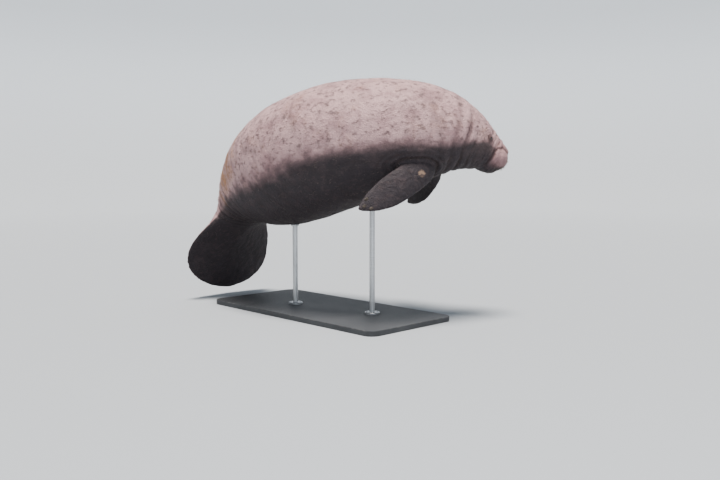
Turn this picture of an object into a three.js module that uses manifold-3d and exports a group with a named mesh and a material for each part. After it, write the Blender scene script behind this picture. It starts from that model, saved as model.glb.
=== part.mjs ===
// A life-size, very rotund adult manatee, swimming with its tail hanging, on a plain display stand.
//
// Units are millimetres, +Z is up, and the origin is the middle of the underside of the stand's base.
// The animal is drawn first as a straight body: "station" is the distance behind the snout's tip,
// "side" is towards the animal's left and "rise" is towards its back. A curved midline then poses it.

import * as THREE from "three";
import { mergeVertices } from "three/addons/utils/BufferGeometryUtils.js";
import Module from "manifold-3d";

const wasm = await Module();
wasm.setup();

// Driving sizes of the body

const BODY_LENGTH = 2740; // snout tip to tail tip along the midline
const FIT_GAP = 0.3; // between pieces that touch
const AROUND = 42; // facets around the body

// The body's girth: station, half width, height above the midline, depth below it.
const GIRTH = [
  [0, 62, 52, 52],
  [30, 80, 74, 70],
  [75, 90, 101, 82],
  [120, 96, 125, 96],
  [165, 112, 150, 116],
  [230, 148, 182, 142],
  [300, 190, 214, 170],
  [370, 230, 246, 208],
  [480, 282, 284, 258],
  [650, 336, 322, 318],
  [860, 374, 344, 368],
  [1110, 396, 352, 406],
  [1320, 398, 346, 420],
  [1545, 378, 312, 404],
  [1770, 324, 248, 346],
  [1935, 266, 198, 262],
  [2045, 224, 172, 188],
  [2120, 206, 150, 134],
  [2205, 238, 112, 94],
  [2300, 298, 78, 68],
  [2380, 334, 58, 52],
  [2450, 346, 46, 42],
  [2550, 350, 38, 34],
  [2645, 350, 28, 25],
  [2740, 350, 17, 16],
];
const TAIL_WIDEST = 2480; // from here the tail's edge closes as a half ellipse
const SNOUT_ROUND = 34; // how far back the snout's front is rounded
const BODY_SQUARENESS = 2.15; // 2 is an ellipse
const TAIL_SQUARENESS = 1.25; // 1 is a lens with straight sides
const TAIL_EDGE = 7; // radius of the tail's rounded edge
// How far the tail is carried to the animal's left at a station.
const TAIL_SWAY = [
  [2140, 0],
  [2380, -20],
  [2740, 45],
];
const TAIL_STARTS = [2055, 2285]; // over this stretch the section turns from round to a lens

// The midline's pose: station, turn to the animal's left, nose-up pitch, in degrees.
const POSE = [
  [0, 64, -24],
  [200, 62, -22],
  [350, 53, -14],
  [480, 45, -5],
  [660, 34, 2],
  [900, 20, 6],
  [1200, 5, 11],
  [1500, -1, 19],
  [1780, -2, 29],
  [1990, -1, 43],
  [2135, 1, 54],
  [2280, 2, 61],
  [2480, 2, 67],
  [2740, 2, 72],
];
const MIDDLE_STATION = 1200; // the animal's group has its origin on the midline here
const MIDLINE_STEP = 5;

// Where one part of the body ends and the next begins.
const PARTS = [
  ["head", 0, 285],
  ["neck", 285, 375],
  ["chest", 375, 1030],
  ["belly", 1030, 1620],
  ["loin", 1620, 1940],
  ["tail_stock", 1940, 2140],
  ["tail_paddle", 2140, BODY_LENGTH],
];

// Driving sizes of the head: places are [station, side, rise] on the animal's left

const EYE_RADIUS = 11;
const EYE = [184, 111, 60];
const LID_RING = [13.5, 5.5]; // radius of the ring of the lids, and of its roll
const LIP_PAD = { at: [72, 48, -16], radii: [64, 58, 58] };
const CHIN = { at: [118, 0, -70], radii: [84, 72, 40] };
const MOUTH = { at: [62, 0, -62], radii: [78, 116, 4], droop: -14 };
const NOSTRIL = { at: [26, 28, 60], radii: [13, 9, 9], slant: 30 };
const NOSTRIL_RIM = [13, 5]; // radius of the raised rim's ring, and of its roll

// Driving sizes of the flippers: places are [ahead, outwards, up] from the midline at the shoulder

const SHOULDER_STATION = 525;
const FLIPPER_SPINE = [
  [22, 186, -170],
  [6, 218, -200],
  [-80, 292, -266],
  [-193, 366, -348],
  [-320, 446, -426],
];
// Each side's pose, from the spine above: a swing outwards in degrees, a reach ahead and a lift.
const FLIPPER_POSE = { left: { swing: 34, reach: 76, lift: 20 }, right: { swing: 0, reach: 0, lift: 0 } };
const FLIPPER_EDGE = [0.5, 0, -0.85]; // roughly where the leading edge faces
// Along the flipper from 0 to 1: half width, half thickness.
const FLIPPER_GIRTH = [
  [0, 74, 50],
  [0.16, 82, 42],
  [0.36, 88, 31],
  [0.55, 87, 23],
  [0.75, 67, 17],
  [0.9, 44, 12],
  [1, 30, 8],
];
const FLIPPER_CLOSES = 0.8; // from here its edge closes as a half ellipse
const FLIPPER_RINGS = 22;
const FLIPPER_AROUND = 18;
const NAILS = [[-0.6, 0.87], [0, 0.93], [0.6, 0.87]]; // across the flipper's half width, and along it
const NAIL_RADII = [14, 9, 3.6];

// Driving sizes of the stand

const BASE = { length: 1500, width: 680, thickness: 30, corner: 60, bevel: 3 };
const BODY_OVER_BASE = [10, -50]; // the animal's origin from the middle of the base
const TAIL_CLEARANCE = 18; // between the tail's lowest edge and the base
const ROD_RADIUS = 16;
const ROD_STATIONS = { front: 820, rear: 1440 };
const FLANGE = { radius: 45, height: 12, bevel: 3 };

// Small helpers

const radians = THREE.MathUtils.degToRad;
const mix = THREE.MathUtils.lerp;
const smooth = THREE.MathUtils.smoothstep;
const vector = (x, y, z) => new THREE.Vector3(x, y, z);

// A smooth curve through rows of [at, value, value, ...], with no overshoot between them.
function throughRows(rows) {
  const at = rows.map((row) => row[0]);
  const last = rows.length - 1;
  const rate = (i, k) => (rows[i + 1][k + 1] - rows[i][k + 1]) / (at[i + 1] - at[i]);
  const slopes = rows.map((row, i) =>
    row.slice(1).map((value, k) => {
      if (i === 0) return rate(0, k);
      if (i === last) return rate(last - 1, k);
      const before = rate(i - 1, k);
      const after = rate(i, k);
      return before * after <= 0 ? 0 : (2 * before * after) / (before + after);
    }),
  );
  return (x) => {
    let i = 0;
    while (i < last - 1 && x > at[i + 1]) i += 1;
    const span = at[i + 1] - at[i];
    const t = THREE.MathUtils.clamp((x - at[i]) / span, 0, 1);
    return rows[i].slice(1).map((value, k) =>
      mix(value, rows[i + 1][k + 1], t * t * (3 - 2 * t))
      + span * t * (1 - t) * ((1 - t) * slopes[i][k] - t * slopes[i + 1][k]));
  };
}

const girthAt = throughRows(GIRTH);
const poseAt = throughRows(POSE);
const swayAt = throughRows(TAIL_SWAY);
const flipperGirthAt = throughRows(FLIPPER_GIRTH);

// The midline

function frameAhead(station) {
  const [turn, pitch] = poseAt(station).map(radians);
  const ahead = vector(Math.cos(pitch) * Math.cos(turn), Math.cos(pitch) * Math.sin(turn), Math.sin(pitch));
  const left = vector(-Math.sin(turn), Math.cos(turn), 0);
  return { ahead, left, up: ahead.clone().cross(left) };
}

const midline = [{ place: vector(0, 0, 0), ...frameAhead(0) }];
for (let station = MIDLINE_STEP; station <= BODY_LENGTH; station += MIDLINE_STEP) {
  const place = midline.at(-1).place.clone();
  place.addScaledVector(frameAhead(station - MIDLINE_STEP / 2).ahead, -MIDLINE_STEP);
  midline.push({ place, ...frameAhead(station) });
}
const middle = midline[MIDDLE_STATION / MIDLINE_STEP].place.clone();
for (const point of midline) point.place.sub(middle);

// The midline's place and directions at a station.
function frameAt(station) {
  const at = THREE.MathUtils.clamp(station / MIDLINE_STEP, 0, midline.length - 1);
  const i = Math.min(Math.floor(at), midline.length - 2);
  const blend = (key) => midline[i][key].clone().lerp(midline[i + 1][key], at - i);
  return {
    place: blend("place"),
    ahead: blend("ahead").normalize(),
    left: blend("left").normalize(),
    up: blend("up").normalize(),
  };
}

// Carries a point of the straight body to its place in the pose.
function posed(station, side, rise) {
  const { place, ahead, left, up } = frameAt(station);
  const beyond = station - THREE.MathUtils.clamp(station, 0, BODY_LENGTH);
  return place
    .addScaledVector(left, side)
    .addScaledVector(up, rise)
    .addScaledVector(ahead, -beyond);
}

// The straight body's skin

// A point of the skin: angle 0 is the left side and a quarter turn is the back.
function skinAt(station, angle, grow = 0) {
  const [fullWidth, height, depth] = girthAt(station);
  const closing = Math.max(0, (station - TAIL_WIDEST) / (BODY_LENGTH - TAIL_WIDEST));
  const width = fullWidth * Math.sqrt(Math.max(0, 1 - closing * closing));
  const lens = smooth(station, ...TAIL_STARTS);
  const power = 2 / mix(BODY_SQUARENESS, TAIL_SQUARENESS, lens);
  const edge = lens * Math.min(TAIL_EDGE, width);
  const c = Math.cos(angle);
  const s = Math.sin(angle);
  const tall = Math.max((s > 0 ? height : depth) - edge, 0);
  const [sway] = swayAt(station);
  const side = Math.sign(c) * Math.abs(c) ** power * (width - edge) + c * edge + sway;
  const rise = Math.sign(s) * Math.abs(s) ** power * tall + s * edge;
  const out = Math.hypot(side, rise) || 1;
  return [side * (1 + grow / out), rise * (1 + grow / out)];
}

// A closed mesh from rings of points, each end closed by a fan round its middle.
function closedLoft(rings) {
  const count = rings[0].length;
  const points = rings.flat();
  const faces = [];
  rings.slice(1).forEach((ring, r) => {
    for (let k = 0; k < count; k += 1) {
      const a = r * count + k;
      const b = r * count + ((k + 1) % count);
      faces.push(a, a + count, b, b, a + count, b + count);
    }
  });
  for (const [start, flip] of [[0, false], [(rings.length - 1) * count, true]]) {
    const centre = vector(0, 0, 0);
    for (let k = 0; k < count; k += 1) centre.addScaledVector(points[start + k], 1 / count);
    const hub = points.push(centre) - 1;
    for (let k = 0; k < count; k += 1) {
      const a = start + k;
      const b = start + ((k + 1) % count);
      faces.push(...(flip ? [a, hub, b] : [a, b, hub]));
    }
  }
  const geometry = new THREE.BufferGeometry().setFromPoints(points);
  geometry.setIndex(faces);
  return geometry;
}

// How far apart the body's rings stand at a station: close together where the form is fine.
function ringSpacing(station) {
  if (station < 420) return mix(12, 24, smooth(station, 120, 420));
  if (station < 2050) {
    return mix(22, 62, smooth(station, 420, 900)) * mix(1, 0.5, smooth(station, 1650, 2050));
  }
  if (station < TAIL_WIDEST) return 32;
  const closing = (station - TAIL_WIDEST) / (BODY_LENGTH - TAIL_WIDEST);
  return Math.max(5, 34 * Math.sqrt(1 - closing * closing));
}

function ringStations(from, to) {
  const stations = [from];
  while (stations.at(-1) < to) stations.push(stations.at(-1) + ringSpacing(stations.at(-1)));
  const stretch = (to - from) / (stations.at(-1) - from);
  return stations.map((station) => from + (station - from) * stretch);
}

// One length of the body, with flat ends, or rounded at the snout.
function bodyLength(from, to, grow = 0) {
  const ring = (station, scale = 1) =>
    Array.from({ length: AROUND }, (_, k) => {
      const [side, rise] = skinAt(station, (2 * Math.PI * k) / AROUND, grow);
      return posed(station, side * scale, rise * scale);
    });
  const rings = [];
  const first = from === 0 ? SNOUT_ROUND : from;
  if (from === 0) {
    for (const angle of [15, 30, 45, 60, 75].map(radians)) {
      rings.push(ring(SNOUT_ROUND * (1 - Math.cos(angle)), mix(0.2, 1, Math.sin(angle))));
    }
  }
  for (const station of ringStations(first, Math.min(to, BODY_LENGTH - 1))) rings.push(ring(station));
  return closedLoft(rings);
}

// Solids

function solid(geometry) {
  const bare = geometry.clone();
  bare.deleteAttribute("normal");
  bare.deleteAttribute("uv");
  const merged = mergeVertices(bare, 1e-4);
  return new wasm.Manifold(new wasm.Mesh({
    numProp: 3,
    vertProperties: new Float32Array(merged.attributes.position.array),
    triVerts: new Uint32Array(merged.index.array),
  }));
}

// The largest closed surface of a solid, as a three.js geometry.
function geometryOf(manifold) {
  const pieces = manifold.decompose().sort((a, b) => b.volume() - a.volume());
  const mesh = pieces[0].getMesh();
  const geometry = new THREE.BufferGeometry();
  geometry.setAttribute("position", new THREE.BufferAttribute(new Float32Array(mesh.vertProperties), 3));
  geometry.setIndex(new THREE.BufferAttribute(new Uint32Array(mesh.triVerts), 1));
  return geometry;
}

// Carries a geometry drawn with x ahead of the snout's tip, y to the left and z up into the pose.
function pose(geometry) {
  const points = geometry.attributes.position;
  for (let i = 0; i < points.count; i += 1) {
    points.setXYZ(i, ...posed(-points.getX(i), points.getY(i), points.getZ(i)));
  }
  return geometry;
}

// An egg shape on the straight body, tipped about the side and turned about the up direction.
function egg({ at: [station, side, rise], radii, droop = 0, slant = 0 }, hand = 1) {
  const geometry = new THREE.SphereGeometry(1, 20, 12);
  geometry.scale(...radii);
  geometry.rotateY(radians(droop));
  geometry.rotateZ(radians(slant * hand));
  geometry.translate(-station, side * hand, rise);
  return solid(pose(geometry));
}

// A rounded ring on the straight body, facing the given direction.
function roll([radius, thickness], [station, side, rise], facing, hand) {
  const geometry = new THREE.TorusGeometry(radius, thickness, 8, 18);
  const direction = vector(facing[0], facing[1] * hand, facing[2]).normalize();
  geometry.applyQuaternion(new THREE.Quaternion().setFromUnitVectors(vector(0, 0, 1), direction));
  geometry.translate(-station, side * hand, rise);
  return solid(pose(geometry));
}

const material = (color, roughness, metalness = 0) =>
  new THREE.MeshStandardMaterial({ color, roughness, metalness });
const materials = {
  back: () => material(0x9a8a84, 0.7),
  flipper: () => material(0x6e6664, 0.7),
  tail: () => material(0x746b69, 0.7),
  eye: () => material(0x0d0b0a, 0.15),
  nail: () => material(0xb8a88f, 0.5),
  base: () => material(0x2b2c2e, 0.55),
  rod: () => material(0xa9abad, 0.3, 1),
};

function addPart(group, name, geometry, look) {
  const mesh = new THREE.Mesh(geometry, look);
  mesh.name = name;
  group.add(mesh);
  return mesh;
}

const manatee = new THREE.Group();
const animal = new THREE.Group();
manatee.add(animal);
const HANDS = { left: 1, right: -1 };

// The body, part by part

const spanOf = (name) => {
  const [, from, to] = PARTS.find((part) => part[0] === name);
  return [from === 0 ? 0 : from + FIT_GAP / 2, to === BODY_LENGTH ? to : to - FIT_GAP / 2];
};
const bodyPart = (name, grow = 0) => solid(bodyLength(...spanOf(name), grow));

const eyePlace = (hand) => posed(EYE[0], EYE[1] * hand, EYE[2]);
const eyeBall = (grow = 0) => new THREE.SphereGeometry(EYE_RADIUS + grow, 16, 10);

// The head: lip pads, chin and rims joined on, then the mouth, nostrils and eye sockets cut in.
function headSolid() {
  let head = bodyPart("head").add(egg(CHIN));
  for (const hand of Object.values(HANDS)) head = head.add(egg(LIP_PAD, hand));
  head = head.subtract(egg(MOUTH));
  for (const hand of Object.values(HANDS)) {
    const nostrilFacing = [0.7, 0.25, 1];
    head = head.add(roll(NOSTRIL_RIM, NOSTRIL.at, nostrilFacing, hand));
    head = head.add(roll(LID_RING, EYE, [0.35, 1, 0.15], hand));
    head = head.subtract(egg(NOSTRIL, hand));
    head = head.subtract(solid(eyeBall(FIT_GAP).translate(...eyePlace(hand))));
  }
  return head;
}

for (const [name] of PARTS) {
  const look = name.startsWith("tail") ? materials.tail() : materials.back();
  addPart(animal, name, geometryOf(name === "head" ? headSolid() : bodyPart(name)), look);
}

for (const [side, hand] of Object.entries(HANDS)) {
  const eye = addPart(animal, `eye_${side}`, eyeBall(), materials.eye());
  eye.position.copy(eyePlace(hand));
}

// The flippers and their nails

const shoulder = frameAt(SHOULDER_STATION);

// Turns a direction given as [ahead, outwards, up] at the shoulder into the pose.
function fromShoulder([ahead, outwards, up], hand) {
  return vector(0, 0, 0)
    .addScaledVector(shoulder.ahead, ahead)
    .addScaledVector(shoulder.left, outwards * hand)
    .addScaledVector(shoulder.up, up);
}

// The flipper's middle line and where its leading edge faces, swung about the flipper's root.
function flipperLine(hand) {
  const { swing, reach, lift } = hand === HANDS.left ? FLIPPER_POSE.left : FLIPPER_POSE.right;
  const turn = (direction) => direction.applyAxisAngle(shoulder.up, -radians(swing) * hand);
  const root = fromShoulder(FLIPPER_SPINE[1], hand);
  const start = root.clone().add(shoulder.place);
  start.addScaledVector(shoulder.ahead, reach).addScaledVector(shoulder.up, lift);
  const points = FLIPPER_SPINE.map((place) => turn(fromShoulder(place, hand).sub(root)).add(start));
  return { spine: new THREE.CatmullRomCurve3(points), edge: turn(fromShoulder(FLIPPER_EDGE, hand)) };
}

// The flipper's middle, directions and half sizes at a fraction of its length.
function flipperSection(along, hand) {
  const { spine, edge } = flipperLine(hand);
  const tangent = spine.getTangentAt(along);
  const across = edge.addScaledVector(tangent, -edge.dot(tangent)).normalize();
  const [width, thickness] = flipperGirthAt(along);
  const closing = Math.max(0, (along - FLIPPER_CLOSES) / (1 - FLIPPER_CLOSES));
  return {
    place: spine.getPointAt(along),
    tangent,
    across,
    facing: across.clone().cross(tangent).multiplyScalar(hand),
    width: width * Math.sqrt(Math.max(0.0025, 1 - closing * closing)),
    thickness,
  };
}

function flipperSolid(hand) {
  const rings = [];
  for (let i = 0; i <= FLIPPER_RINGS; i += 1) {
    const even = i / FLIPPER_RINGS;
    const along = mix(even, Math.sin((even * Math.PI) / 2), 0.6);
    const { place, across, facing, width, thickness } = flipperSection(along, hand);
    rings.push(Array.from({ length: FLIPPER_AROUND }, (_, k) => {
      const angle = (2 * Math.PI * k * hand) / FLIPPER_AROUND;
      return place.clone()
        .addScaledVector(across, Math.cos(angle) * width)
        .addScaledVector(facing, Math.sin(angle) * thickness);
    }));
  }
  const [from] = spanOf("neck");
  const [, to] = spanOf("chest");
  return solid(closedLoft(rings)).subtract(solid(bodyLength(from, to, FIT_GAP)));
}

// Where a nail lies: on the flipper's outer face, near its tip.
function nailMatrix([acrossShare, along], hand) {
  const { place, tangent, across, facing, width, thickness } = flipperSection(along, hand);
  const height = thickness * Math.sqrt(1 - acrossShare ** 2) - NAIL_RADII[2] / 3;
  place.addScaledVector(across, acrossShare * width).addScaledVector(facing, height);
  const sideways = facing.clone().cross(tangent);
  return new THREE.Matrix4().makeBasis(tangent, sideways, facing).setPosition(place);
}

const nailShape = (grow = 0) =>
  new THREE.SphereGeometry(1, 10, 8).scale(...NAIL_RADII.map((radius) => radius + grow));

for (const [side, hand] of Object.entries(HANDS)) {
  let flipper = flipperSolid(hand);
  NAILS.forEach((nailPlace, i) => {
    const matrix = nailMatrix(nailPlace, hand);
    flipper = flipper.subtract(solid(nailShape(FIT_GAP).applyMatrix4(matrix)));
    const nail = addPart(animal, `nail_${side}_${i + 1}`, nailShape(), materials.nail());
    nail.applyMatrix4(matrix);
  });
  addPart(animal, `flipper_${side}`, geometryOf(flipper), materials.flipper());
}

// The stand, and the animal on it

const lowest = new THREE.Box3().setFromObject(animal).min.z;
animal.position.set(...BODY_OVER_BASE, BASE.thickness + TAIL_CLEARANCE - lowest);

function roundedPlate({ length, width, thickness, corner, bevel }) {
  const x = length / 2 - bevel;
  const y = width / 2 - bevel;
  const shape = new THREE.Shape();
  shape.moveTo(-x + corner, -y);
  shape.lineTo(x - corner, -y);
  shape.absarc(x - corner, -y + corner, corner, -Math.PI / 2, 0);
  shape.absarc(x - corner, y - corner, corner, 0, Math.PI / 2);
  shape.absarc(-x + corner, y - corner, corner, Math.PI / 2, Math.PI);
  shape.absarc(-x + corner, -y + corner, corner, Math.PI, Math.PI * 1.5);
  const depth = thickness - 2 * bevel;
  const options = { depth, bevelThickness: bevel, bevelSize: bevel, bevelSegments: 2, curveSegments: 5 };
  return new THREE.ExtrudeGeometry(shape, options).translate(0, 0, bevel);
}

addPart(manatee, "stand_base", roundedPlate(BASE), materials.base());

function flangeShape() {
  const inner = ROD_RADIUS + FIT_GAP;
  const { radius, height, bevel } = FLANGE;
  const profile = [
    [inner, 0], [radius, 0], [radius, height - bevel], [radius - bevel, height], [inner, height], [inner, 0],
  ].map(([x, y]) => new THREE.Vector2(x, y));
  return new THREE.LatheGeometry(profile, 24).rotateX(Math.PI / 2);
}

for (const [end, station] of Object.entries(ROD_STATIONS)) {
  const [name] = PARTS.find(([, from, to]) => from < station && station < to);
  const top = frameAt(station).place.add(animal.position);
  const foot = BASE.thickness + FIT_GAP;
  const rod = new THREE.CylinderGeometry(ROD_RADIUS, ROD_RADIUS, top.z - foot, 32).rotateX(Math.PI / 2);
  rod.translate(top.x, top.y, (top.z + foot) / 2);
  const body = bodyPart(name, FIT_GAP).translate(...animal.position);
  addPart(manatee, `stand_rod_${end}`, geometryOf(solid(rod).subtract(body)), materials.rod());
  const flange = addPart(manatee, `stand_flange_${end}`, flangeShape(), materials.rod());
  flange.position.set(top.x, top.y, foot);
}

export default manatee;
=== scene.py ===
# The looks of a life-size manatee on a plain display stand: one seamless wrinkled skin over the flesh,
# eyes, nails and bristles of their own, and the finish of the stand.
#
# Units are metres in the frame's axes: +X is the way the middle of the body heads, +Y its left, +Z up.
# A place on the animal is "station" behind the snout's tip along the curved midline, "side" to its left
# and "rise" to its back.

import math

import bmesh
import bpy
import numpy as np
from mathutils import Matrix, Vector, noise
from mathutils.bvhtree import BVHTree


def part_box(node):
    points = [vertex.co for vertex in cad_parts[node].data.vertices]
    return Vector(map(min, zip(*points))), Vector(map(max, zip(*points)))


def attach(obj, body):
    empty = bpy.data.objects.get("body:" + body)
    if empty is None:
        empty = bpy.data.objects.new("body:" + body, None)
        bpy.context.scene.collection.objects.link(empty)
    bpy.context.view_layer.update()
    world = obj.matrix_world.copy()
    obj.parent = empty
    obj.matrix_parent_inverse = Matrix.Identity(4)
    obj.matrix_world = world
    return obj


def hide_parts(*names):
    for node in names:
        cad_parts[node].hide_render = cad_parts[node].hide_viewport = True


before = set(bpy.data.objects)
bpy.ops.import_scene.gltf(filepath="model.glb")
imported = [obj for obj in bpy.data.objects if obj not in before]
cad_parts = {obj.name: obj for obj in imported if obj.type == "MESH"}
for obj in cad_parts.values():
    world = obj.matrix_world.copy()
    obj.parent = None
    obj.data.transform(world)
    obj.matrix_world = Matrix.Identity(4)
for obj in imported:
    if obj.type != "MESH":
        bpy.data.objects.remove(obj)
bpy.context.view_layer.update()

# The animal's midline, as the solids have it

BODY_LENGTH = 2.74
MIDLINE_STEP = 0.005
# Station, then the turn to the left and the nose-up pitch in degrees
POSE = [
    (0.000, 64, -24),
    (0.200, 62, -22),
    (0.350, 53, -14),
    (0.480, 45, -5),
    (0.660, 34, 2),
    (0.900, 20, 6),
    (1.200, 5, 11),
    (1.500, -1, 19),
    (1.780, -2, 29),
    (1.990, -1, 43),
    (2.135, 1, 54),
    (2.280, 2, 61),
    (2.480, 2, 67),
    (2.740, 2, 72),
]
CUTS = (0.285, 0.375, 1.030, 1.620, 1.940, 2.140)  # stations where one part of the body meets the next
EYE = (0.184, 0.111, 0.060)  # the left eye's station, side and rise
EYE_FACES = (0.35, 1, 0.15)  # ahead, outwards and up
EYE_RADIUS = 0.011
NOSTRIL = (0.026, 0.028, 0.060)
NOSTRIL_FACES = (0.7, 0.25, 1)
EAR = (0.262, 0.045)  # station and rise
LIP_PAD = ((0.072, 0.048, -0.016), (0.064, 0.058, 0.058))  # middle and radii

TRUNK = ("head", "neck", "chest", "belly", "loin", "tail_stock", "tail_paddle")
SIDES = {"left": 1, "right": -1}
FLIPPERS = tuple(f"flipper_{side}" for side in SIDES)


def through_rows(rows):
    """A smooth curve through rows of (at, value, value, ...), with no overshoot between them."""
    at = [row[0] for row in rows]
    values = np.array([row[1:] for row in rows], float)
    rates = np.diff(values, axis=0) / np.diff(at)[:, None]
    before, after = rates[:-1], rates[1:]
    both = np.where(before + after == 0, 1, before + after)
    inner = np.where(before * after > 0, 2 * before * after / both, 0)
    slopes = np.vstack([rates[:1], inner, rates[-1:]])

    def curve(x):
        x = np.asarray(x, float)
        i = np.clip(np.searchsorted(at, x, side="right") - 1, 0, len(at) - 2)
        span = np.diff(at)[i]
        t = np.clip((x - np.array(at)[i]) / span, 0, 1)[:, None]
        bend = span[:, None] * t * (1 - t) * ((1 - t) * slopes[i] - t * slopes[i + 1])
        return values[i] + (values[i + 1] - values[i]) * t * t * (3 - 2 * t) + bend

    return curve


def directions(stations):
    """Which way is ahead, left and up on the body at each station."""
    turn, pitch = np.radians(through_rows(POSE)(stations)).T
    ahead = np.stack([np.cos(pitch) * np.cos(turn), np.cos(pitch) * np.sin(turn), np.sin(pitch)], axis=1)
    left = np.stack([-np.sin(turn), np.cos(turn), np.zeros_like(turn)], axis=1)
    return ahead, left, np.cross(ahead, left)


def lengths(vectors):
    return np.linalg.norm(vectors, axis=-1)


def box_middle(node):
    low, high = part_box(node)
    return (np.array(low) + np.array(high)) / 2


class Midline:
    """The animal's curved midline, which turns places on the body into points of the frame and back."""

    def __init__(self):
        self.stations = np.arange(0, BODY_LENGTH + MIDLINE_STEP / 2, MIDLINE_STEP)
        steps = -MIDLINE_STEP * directions(self.stations[:-1] + MIDLINE_STEP / 2)[0]
        self.places = np.vstack([np.zeros(3), np.cumsum(steps, axis=0)])
        self.axes = directions(self.stations)
        self.places += box_middle("eye_left") - self.point(*EYE)

    def at(self, stations):
        """The midline's place, ahead, left and up at each station."""
        return [
            np.stack([np.interp(stations, self.stations, row[:, k]) for k in range(3)], axis=1)
            for row in (self.places, *self.axes)
        ]

    def point(self, station, side, rise):
        """The point of the frame at one place on the body."""
        place, ahead, left, up = (row[0] for row in self.at([station]))
        return place + side * left + rise * up - (station - np.clip(station, 0, BODY_LENGTH)) * ahead

    def locate(self, points):
        """Station, side and rise of each point."""
        coarse = slice(None, None, 6)
        near = []
        for chunk in np.array_split(points, max(1, len(points) // 5000)):
            gaps = ((chunk[:, None, :] - self.places[None, coarse, :]) ** 2).sum(axis=2)
            near.append(self.stations[coarse][gaps.argmin(axis=1)])
        stations = np.concatenate(near)
        for _ in range(6):
            place, ahead, left, up = self.at(stations)
            stations = np.clip(stations - 0.8 * ((points - place) * ahead).sum(axis=1), 0, BODY_LENGTH)
        place, ahead, left, up = self.at(stations)
        gaps = points - place
        return stations - (gaps * ahead).sum(axis=1), (gaps * left).sum(axis=1), (gaps * up).sum(axis=1)


midline = Midline()


class Spot:
    """An eye or a nostril: where it lies, the way it faces, and where points lie round it."""

    def __init__(self, place, faces, hand):
        station, side, rise = place
        self.middle = midline.point(station, side * hand, rise)
        _, ahead, left, up = (row[0] for row in midline.at([station]))
        self.faces = faces[0] * ahead + faces[1] * hand * left + faces[2] * up
        self.faces /= lengths(self.faces)
        self.along = ahead - (ahead @ self.faces) * self.faces
        self.along /= lengths(self.along)
        self.across = np.cross(self.faces, self.along)

    def locate(self, points):
        """How far each point stands out, and how far it lies along and across."""
        gaps = points - self.middle
        return gaps @ self.faces, gaps @ self.along, gaps @ self.across


EYES = {side: Spot(EYE, EYE_FACES, hand) for side, hand in SIDES.items()}
NOSTRILS = [Spot(NOSTRIL, NOSTRIL_FACES, hand) for hand in SIDES.values()]

# The camera, at the photograph's distance and height and with its framing

VIEW_TURN = math.radians(49)  # from straight at the animal's right side, round towards its head
VIEW_DISTANCE = 4.5
VIEW_DROP = 0.2  # below the middle of the body
FOCAL_PIXELS = 731
PHOTO_SIZE = (720, 480)
MIDDLE_IN_PHOTO = (320, 148)  # where the middle of the body lies in the photograph
MIDDLE_STATION = 1.2


def make_camera():
    middle = Vector(midline.point(MIDDLE_STATION, 0, 0))
    towards = Vector((math.sin(VIEW_TURN), -math.cos(VIEW_TURN), 0))
    camera = bpy.data.objects.new("camera", bpy.data.cameras.new("camera"))
    bpy.context.scene.collection.objects.link(camera)
    bpy.context.scene.camera = camera
    camera.data.lens = FOCAL_PIXELS * camera.data.sensor_width / PHOTO_SIZE[0]
    camera.location = middle + VIEW_DISTANCE * towards - Vector((0, 0, VIEW_DROP))
    sight = middle - camera.location
    across = (PHOTO_SIZE[0] / 2 - MIDDLE_IN_PHOTO[0]) / FOCAL_PIXELS
    below = (PHOTO_SIZE[1] / 2 - MIDDLE_IN_PHOTO[1]) / FOCAL_PIXELS
    heading = math.atan2(sight.y, sight.x) - math.atan(across)
    tilt = math.atan2(sight.z, math.hypot(sight.x, sight.y)) - math.atan(below)
    camera.rotation_euler = (math.pi / 2 + tilt, 0, heading - math.pi / 2)


make_camera()

# Small helpers for meshes


def add_piece(name, mesh):
    piece = bpy.data.objects.new(name, mesh)
    bpy.context.scene.collection.objects.link(piece)
    return piece


def mesh_of(name, bm, smooth=True):
    """A mesh from a bmesh, which is then freed."""
    mesh = bpy.data.meshes.new(name)
    for face in bm.faces:
        face.smooth = smooth
    bm.to_mesh(mesh)
    bm.free()
    return mesh


def settle(piece):
    """Applies a piece's modifiers to its mesh."""
    depsgraph = bpy.context.evaluated_depsgraph_get()
    mesh = bpy.data.meshes.new_from_object(piece.evaluated_get(depsgraph))
    piece.modifiers.clear()
    piece.data = mesh


def copy_of(nodes):
    """One bmesh of merged copies of CAD nodes."""
    bm = bmesh.new()
    for node in nodes:
        bm.from_mesh(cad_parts[node].data)
    bmesh.ops.remove_doubles(bm, verts=bm.verts, dist=1e-5)
    return bm


def tree_of(nodes):
    """A search tree over the faces of CAD nodes."""
    bm = copy_of(nodes)
    tree = BVHTree.FromBMesh(bm)
    bm.free()
    return tree


def distances(points, nodes):
    """How far points are from the nearest of some CAD nodes."""
    tree = tree_of(nodes)
    return np.array([tree.find_nearest(Vector(point))[3] for point in points])


def points_of(mesh):
    points = np.empty(len(mesh.vertices) * 3, np.float32)
    mesh.vertices.foreach_get("co", points)
    return points.reshape(-1, 3).astype(float)


def normals_of(mesh):
    normals = np.empty(len(mesh.vertices) * 3, np.float32)
    mesh.vertex_normals.foreach_get("vector", normals)
    return normals.reshape(-1, 3)


def set_points(mesh, points):
    mesh.vertices.foreach_set("co", points.astype(np.float32).ravel())
    mesh.update()


def set_attribute(mesh, name, values):
    attribute = mesh.attributes.new(name, "FLOAT", "POINT")
    attribute.data.foreach_set("value", np.asarray(values, np.float32))


def smooth_step(low, high, x):
    t = np.clip((x - low) / (high - low), 0, 1)
    return t * t * (3 - 2 * t)


# The skin

CUT_GAP = 0.0006  # a little more than the gap between parts of the body
CUT_REACH = 0.6  # no part of a cut is further than this from the midline
ROOT_GAP = 0.0024  # a flipper's root lies nearer to the body than this
ROOT_SINK = 0.02  # how far a flipper's root is pushed into the chest
QUAD_ANGLE = math.radians(50)
SKIN_VOXEL = 0.005
SKIN_TRIANGLES = 192_000
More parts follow.
